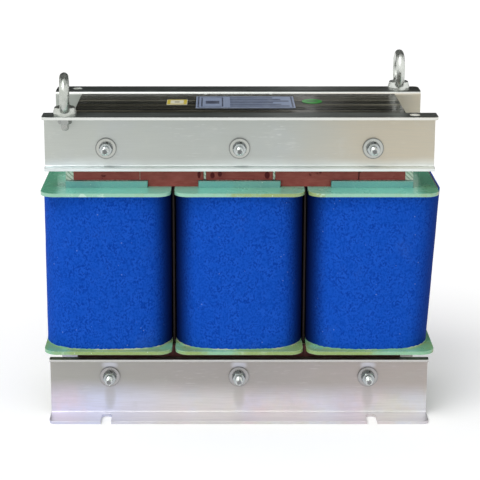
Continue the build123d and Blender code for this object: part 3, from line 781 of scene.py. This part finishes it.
def threadedStud(values, radius, tip):
    root, rim = values["rootRadius"], values["rim"]
    end = [(0, tip - values["dish"]), (root - 3 * rim, tip - values["dish"]), (root - 2 * rim, tip),
           (root - rim, tip), (root, tip - rim)]
    outline = end + [(x, -y) for x, y in reversed(end)]
    points = [(x, y, 0) for x, y in outline]
    core = startMesh("stud", points, [(i, i + 1) for i in range(len(points) - 1)])
    useModifier(core, "SCREW", axis="Y", screw_offset=0, angle=2 * math.pi, steps=values["coreSteps"],
                render_steps=values["coreSteps"], merge_threshold=values["merge"], use_merge_vertices=True)
    last = tip - values["tipClearance"] - values["pitch"] / 2
    ribbons = [threadRibbon(values, radius, side * last, -side) for side in (-1, 1)]
    return joinAll([core, *ribbons])


for level, place in zip(("lower", "upper"), studLevels):
    for phase, x in phases.items():
        stud = threadedStud(studValues, studRadius - studValues["sideMargin"],
                            studHigh.y - studValues["endMargin"])
        stud.name = f"{level}_{phase}_stud"
        shiftMesh(stud, (x, 0, place))
        cleanMesh(stud, studValues["smoothAngle"])
        dress(stud, "fasteners", ["clamp_studs"])
print("threaded studs ready")

# Blue wraps, slightly uneven, each with a frayed edge on the lower flange
wrapValues = {"rows": 26, "unevenness": 0.0005, "lumpSize": 0.03}
fringeValues = {
    "height": 0.0012, "spread": 0.0007, "thickness": 0.00022, "seed": 7, "flatNormal": 0.7,
    "longEdge": 0.004, "levelEdge": 0.0002, "edgeCuts": 3, "topPaintedShare": 0.8,
}


def cutRows(piece, low, high, rows):
    bpy.ops.object.mode_set(mode="EDIT")
    for row in range(1, rows):
        bpy.ops.mesh.select_all(action="SELECT")
        height = low + (high - low) * row / rows
        bpy.ops.mesh.bisect(plane_co=(0, 0, height), plane_no=(0, 0, 1))
    bpy.ops.object.mode_set(mode="OBJECT")


def pointsOutwards(normal, place, middle):
    return normal.x * (place.x - middle) + normal.y * place.y


def wrapOf(phase, x):
    low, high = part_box(phase + "_wrap")
    piece = copyNode(phase + "_wrapping", phase + "_wrap")
    cutRows(piece, low.z, high.z, wrapValues["rows"])
    outer = piece.vertex_groups.new(name="outer")
    for vertex in piece.data.vertices:
        if pointsOutwards(vertex.normal, vertex.co, x) > 0:
            outer.add([vertex.index], 1.0, "REPLACE")
    lumps = bpy.data.textures.new(phase + " lumps", "CLOUDS")
    lumps.noise_scale = wrapValues["lumpSize"]
    useModifier(piece, "DISPLACE", texture=lumps, texture_coords="GLOBAL", strength=wrapValues["unevenness"],
                mid_level=1.0, vertex_group="outer")
    piece.vertex_groups.clear()
    cleanMesh(piece)
    dress(piece, "wrap", [phase + "_wrap"])


def fringeOf(phase, x):
    values = fringeValues
    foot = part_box(phase + "_wrap")[0].z
    piece = copyNode(phase + "_lower_fringe", phase + "_wrap")
    bpy.ops.object.mode_set(mode="EDIT")
    bpy.ops.mesh.select_all(action="SELECT")
    bpy.ops.mesh.bisect(plane_co=(0, 0, foot + values["height"]), plane_no=(0, 0, 1), clear_outer=True)
    bpy.ops.object.mode_set(mode="OBJECT")
    strip = bmesh.new()
    strip.from_mesh(piece.data)
    inner = [face for face in strip.faces if abs(face.normal.z) > values["flatNormal"]
             or pointsOutwards(face.normal, face.calc_center_median(), x) < 0]
    bmesh.ops.delete(strip, geom=inner, context="FACES")
    level = [edge for edge in strip.edges if edge.calc_length() > values["longEdge"]
             and abs(edge.verts[0].co.z - edge.verts[1].co.z) < values["levelEdge"]]
    bmesh.ops.subdivide_edges(strip, edges=level, cuts=values["edgeCuts"])
    draw = random.Random(values["seed"] + len(phase))
    for vertex in strip.verts:
        if vertex.co.z > foot + values["height"] * values["topPaintedShare"]:
            vertex.co.z -= draw.uniform(0, values["spread"])
    strip.to_mesh(piece.data)
    strip.free()
    useModifier(piece, "SOLIDIFY", thickness=values["thickness"], offset=-1.0)
    cleanMesh(piece)
    dress(piece, "fringe")


for phase, x in phases.items():
    wrapOf(phase, x)
    fringeOf(phase, x)
print("wraps ready")


# Flat pieces: the bare labels on the core, and pale strips in the joints of the upper front boards
def flatPiece(name, size, corner, segments, place):
    width, depth, height = size
    bpy.ops.object.select_all(action="DESELECT")
    if corner is None:
        bpy.ops.mesh.primitive_circle_add(vertices=segments, radius=0.5, fill_type="NGON")
    else:
        bpy.ops.mesh.primitive_plane_add(size=1)
    piece = bpy.context.object
    piece.name = name
    bpy.ops.object.mode_set(mode="EDIT")
    bpy.ops.transform.resize(value=(width, depth, 1), center_override=(0, 0, 0))
    if corner is not None:
        bpy.ops.mesh.bevel(offset=corner, segments=segments, affect="VERTICES")
    bpy.ops.mesh.extrude_region_move(TRANSFORM_OT_translate={"value": (0, 0, height)})
    bpy.ops.object.mode_set(mode="OBJECT")
    shiftMesh(piece, place)
    cleanMesh(piece)
    return piece


labelValues = {"thickness": 0.0003, "lift": 0.00005}
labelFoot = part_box("upper_yoke")[1].z + labelValues["lift"]
for name, spot in labels.items():
    (left, right), (front, rear) = spot["x"], spot["y"]
    size = (right - left, rear - front, labelValues["thickness"])
    place = ((left + right) / 2, (front + rear) / 2, labelFoot)
    dress(flatPiece(name, size, spot["corner"], spot["segments"], place), name)

stripValues = {
    "thickness": 0.0024, "setback": 0.0004, "bottomGap": 0.0006, "corner": 0.15, "segments": 2,
    "places": {"left_joint_strip": (-0.02975, 0.0019), "right_joint_strip": (0.02975, 0.0019),
               "seam_filler": (-0.0855, 0.00036)},
}
boardLow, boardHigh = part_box("upper_front_boards")
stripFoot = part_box("left_former")[1].z + stripValues["bottomGap"]
stripMiddle = boardLow.y + stripValues["setback"] + stripValues["thickness"] / 2
for name, (x, width) in stripValues["places"].items():
    size = (width, stripValues["thickness"], boardHigh.z - stripFoot)
    strip = flatPiece(name, size, stripValues["corner"] * width, stripValues["segments"],
                      (x, stripMiddle, stripFoot))
    dress(strip, "packing")
print("plates and joint strips ready")

# Camera
cameraView = {"place": (-0.0181, -1.3779, 0.5301), "pitch": 0.2413, "sensor": 36, "lens": 119.1,
              "shiftX": 0.045, "shiftY": -0.10}
bpy.ops.object.select_all(action="DESELECT")
bpy.ops.object.camera_add(location=cameraView["place"], rotation=(math.pi / 2 - cameraView["pitch"], 0, 0))
camera = bpy.context.object
camera.data.sensor_width = cameraView["sensor"]
camera.data.lens = cameraView["lens"]
camera.data.shift_x, camera.data.shift_y = cameraView["shiftX"], cameraView["shiftY"]
bpy.context.scene.camera = camera
bpy.context.scene.view_settings.view_transform = "Standard"

# A white floor that keeps the shadow, and glows a little for the camera alone
studio = {
    "floorSize": 30.0, "floorDrop": 0.0002, "floorColor": (0.97, 0.97, 0.97), "floorRoughness": 0.9,
    "floorSpecular": 0.1, "floorGlow": 0.15, "white": (1, 1, 1, 1), "worldLight": 0.64,
    "brightSide": (-0.45, -0.85, 0.1), "slope": 0.85,
}
bpy.ops.mesh.primitive_plane_add(size=studio["floorSize"], location=(0, 0, -studio["floorDrop"]))
floor = bpy.context.object
floor.name = "floor"
floorMaterial, floorTree = newMaterial("floor", studio["floorColor"], studio["floorRoughness"],
                                       specular=studio["floorSpecular"])
floorShader = floorTree.nodes["Principled BSDF"]
cameraRay = addNode(floorTree, "LightPath").outputs["Is Camera Ray"]
glow = math2(floorTree, "MULTIPLY", cameraRay, studio["floorGlow"])
wire(floorTree, glow, floorShader.inputs["Emission Strength"])
floorShader.inputs["Emission Color"].default_value = studio["white"]
floor.data.materials.append(floorMaterial)

# Dark cards that only reflections see, with a bright slit between the rear two
cardValues = {"color": (0.03, 0.032, 0.03), "half": 4.0, "front": 0.3, "rear": 3.0, "foot": 0.32, "roof": 3.2,
              "slit": (0.195, 0.250)}


def rearCard(left, right):
    rear, foot, roof = cardValues["rear"], cardValues["foot"], cardValues["roof"]
    return [(left, rear, foot), (right, rear, foot), (right, rear, roof), (left, rear, roof)]


half, roof = cardValues["half"], cardValues["roof"]
cards = {
    "rear_left_card": rearCard(-half, cardValues["slit"][0]),
    "rear_right_card": rearCard(cardValues["slit"][1], half),
    "roof_card": [(side * half, y, roof) for y, sides in ((cardValues["front"], (-1, 1)),
                                                          (cardValues["rear"], (1, -1))) for side in sides],
}
cardMaterial = newMaterial("dark card", cardValues["color"], roughness=1.0, specular=0.0)[0]
for name, corners in cards.items():
    card = startMesh(name, corners, [], [(0, 1, 2, 3)])
    card.data.materials.append(cardMaterial)
    card.visible_camera = card.visible_diffuse = card.visible_transmission = card.visible_shadow = False

# White world, plain for the camera and in reflections, and brighter from the front left as light
world = bpy.data.worlds.new("studio")
bpy.context.scene.world = world
world.use_nodes = True
tree = world.node_tree
background = tree.nodes["Background"]
background.inputs["Color"].default_value = studio["white"]
rays = addNode(tree, "LightPath").outputs
mirrored = math2(tree, "MAXIMUM", rays["Is Glossy Ray"], rays["Is Transmission Ray"])
seen = math2(tree, "MAXIMUM", rays["Is Camera Ray"], mirrored)
direction = addNode(tree, "TexCoord").outputs["Generated"]
along = addNode(tree, "VectorMath", {0: direction, 1: studio["brightSide"]}, operation="DOT_PRODUCT")
soft = math2(tree, "MULTIPLY", scaled(tree, along.outputs["Value"], studio["slope"], 1.0), studio["worldLight"])
strength = addNode(tree, "MapRange", {"Value": seen, "To Min": soft, "To Max": 1.0})
wire(tree, strength.outputs["Result"], background.inputs["Strength"])

sun = {"place": (-1.0, -1.0, 2.0), "towards": (0.42, 0.52, -0.92), "strength": 1.10, "spread": 38}
bpy.ops.object.light_add(type="SUN", location=sun["place"])
light = bpy.context.object
light.name = "key"
light.data.energy = sun["strength"]
light.data.angle = math.radians(sun["spread"])
light.rotation_euler = Vector(sun["towards"]).to_track_quat("-Z", "Y").to_euler()
print("camera, floor and lamps ready")
